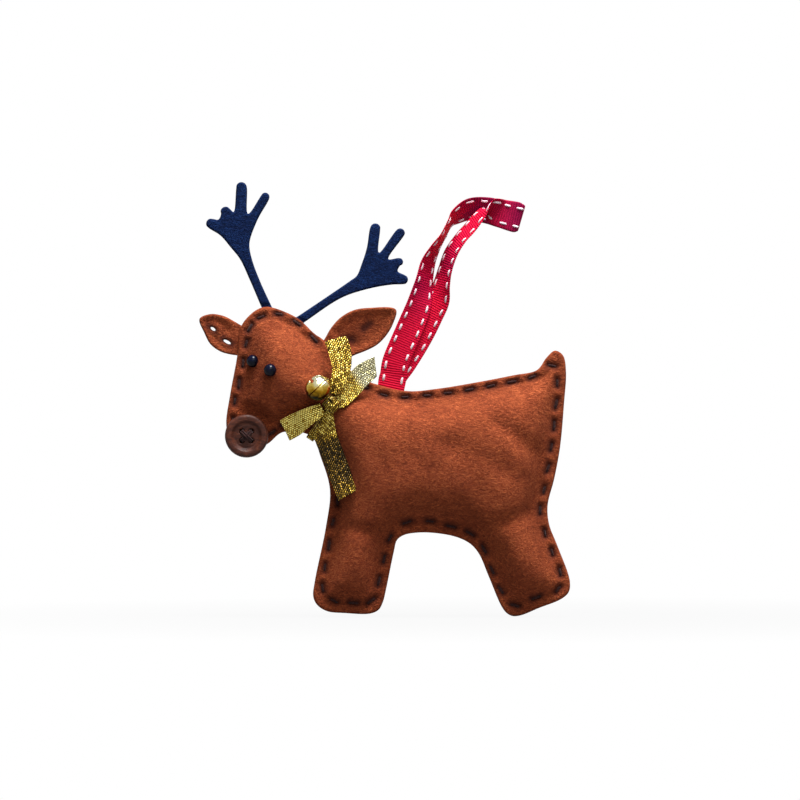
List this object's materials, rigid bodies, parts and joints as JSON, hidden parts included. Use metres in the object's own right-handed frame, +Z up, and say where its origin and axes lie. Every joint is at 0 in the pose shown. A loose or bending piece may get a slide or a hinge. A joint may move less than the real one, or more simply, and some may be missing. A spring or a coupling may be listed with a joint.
{
  "type": "felt christmas ornament",
  "caption": "Stuffed felt reindeer ornament with felt ears and antlers, bead eyes, a button nose, a ribbon bow with a small bell at the neck and a ribbon loop to hang it by.",
  "frame": {"origin": "inside the fold at the end of the hanging loop, where a hook or twig holds it", "axes": "+Z up from the feet to the antlers, +Y from the front felt to the back felt, +X from the head towards the tail"},
  "size_m": [0.1372, 0.0309, 0.1608],
  "materials": {
    "brown_felt": "matte felt",
    "stuffing": "loose fibre",
    "dark_felt": "stiff matte felt",
    "eye_gloss": "gloss",
    "button": "satin",
    "thread": "matte thread",
    "gold_ribbon": "metallic weave",
    "gold_bell": "polished",
    "pellet_steel": "plain",
    "red_ribbon": "ribbed, white stitching"
  },
  "bodies": {
    "body": {"front_felt_panel": "brown_felt", "back_felt_panel": "brown_felt", "torso_stuffing": "stuffing", "head_stuffing": "stuffing", "front_leg_stuffing": "stuffing", "rear_leg_stuffing": "stuffing", "left_ear_tab": "brown_felt", "right_ear_tab": "brown_felt", "left_antler": "dark_felt", "right_antler": "dark_felt", "left_eye_bead": "eye_gloss", "right_eye_bead": "eye_gloss", "nose_button": "button", "nose_thread": "thread", "neck_band": "gold_ribbon", "bow_knot": "gold_ribbon", "bow_loop_upper": "gold_ribbon", "bow_loop_lower": "gold_ribbon", "bell_tie": "thread", "hanger_tab": "red_ribbon"},
    "left_ear_flap": {"left_ear": "brown_felt"},
    "right_ear_flap": {"right_ear": "brown_felt"},
    "hanger": {"hanger_ribbon": "red_ribbon"},
    "bell": {"bell_upper_shell": "gold_bell", "bell_lower_shell": "gold_bell", "bell_shank": "gold_bell"},
    "pellet": {"bell_pellet": "pellet_steel"},
    "long_tail": {"bow_tail_long": "gold_ribbon"},
    "right_tail": {"bow_tail_right": "gold_ribbon"}
  },
  "joints": [
    {"name": "left_ear_bend", "type": "hinge", "parent": "body", "child": "left_ear_flap", "pos_m": [-0.10365, 0, -0.0456], "axis": [-0.1264, 0, -0.992], "range_deg": [-35, 35], "stiffness_Nm_per_rad": 0.0002},
    {"name": "right_ear_bend", "type": "hinge", "parent": "body", "child": "right_ear_flap", "pos_m": [-0.06795, 0, -0.0497], "axis": [0.5281, 0, -0.8492], "range_deg": [-35, 20], "stiffness_Nm_per_rad": 0.0003},
    {"name": "hanger_flop", "type": "hinge", "parent": "body", "child": "hanger", "pos_m": [-0.04679, 0, -0.06187], "axis": [0.9787, 0, -0.2055], "range_deg": [-75, 75], "stiffness_Nm_per_rad": 0.001},
    {"name": "bell_swing", "type": "hinge", "parent": "body", "child": "bell", "pos_m": [-0.0696, -0.01556, -0.0675], "axis": [0.7317, 0, 0.6816], "range_deg": [0, 70]},
    {"name": "bell_pellet_rattle", "type": "slide", "parent": "bell", "child": "pellet", "axis": [-0.6816, 0, 0.7317], "range_m": [0, 0.0048]},
    {"name": "long_tail_lift", "type": "hinge", "parent": "body", "child": "long_tail", "pos_m": [-0.06992, -0.01101, -0.07266], "axis": [-0.9948, 0, -0.1015], "range_deg": [0, 45], "stiffness_Nm_per_rad": 0.0002},
    {"name": "right_tail_lift", "type": "hinge", "parent": "body", "child": "right_tail", "pos_m": [-0.0653, -0.01041, -0.0678], "axis": [0.5026, 0, -0.8645], "range_deg": [0, 40], "stiffness_Nm_per_rad": 0.0002}
  ]
}
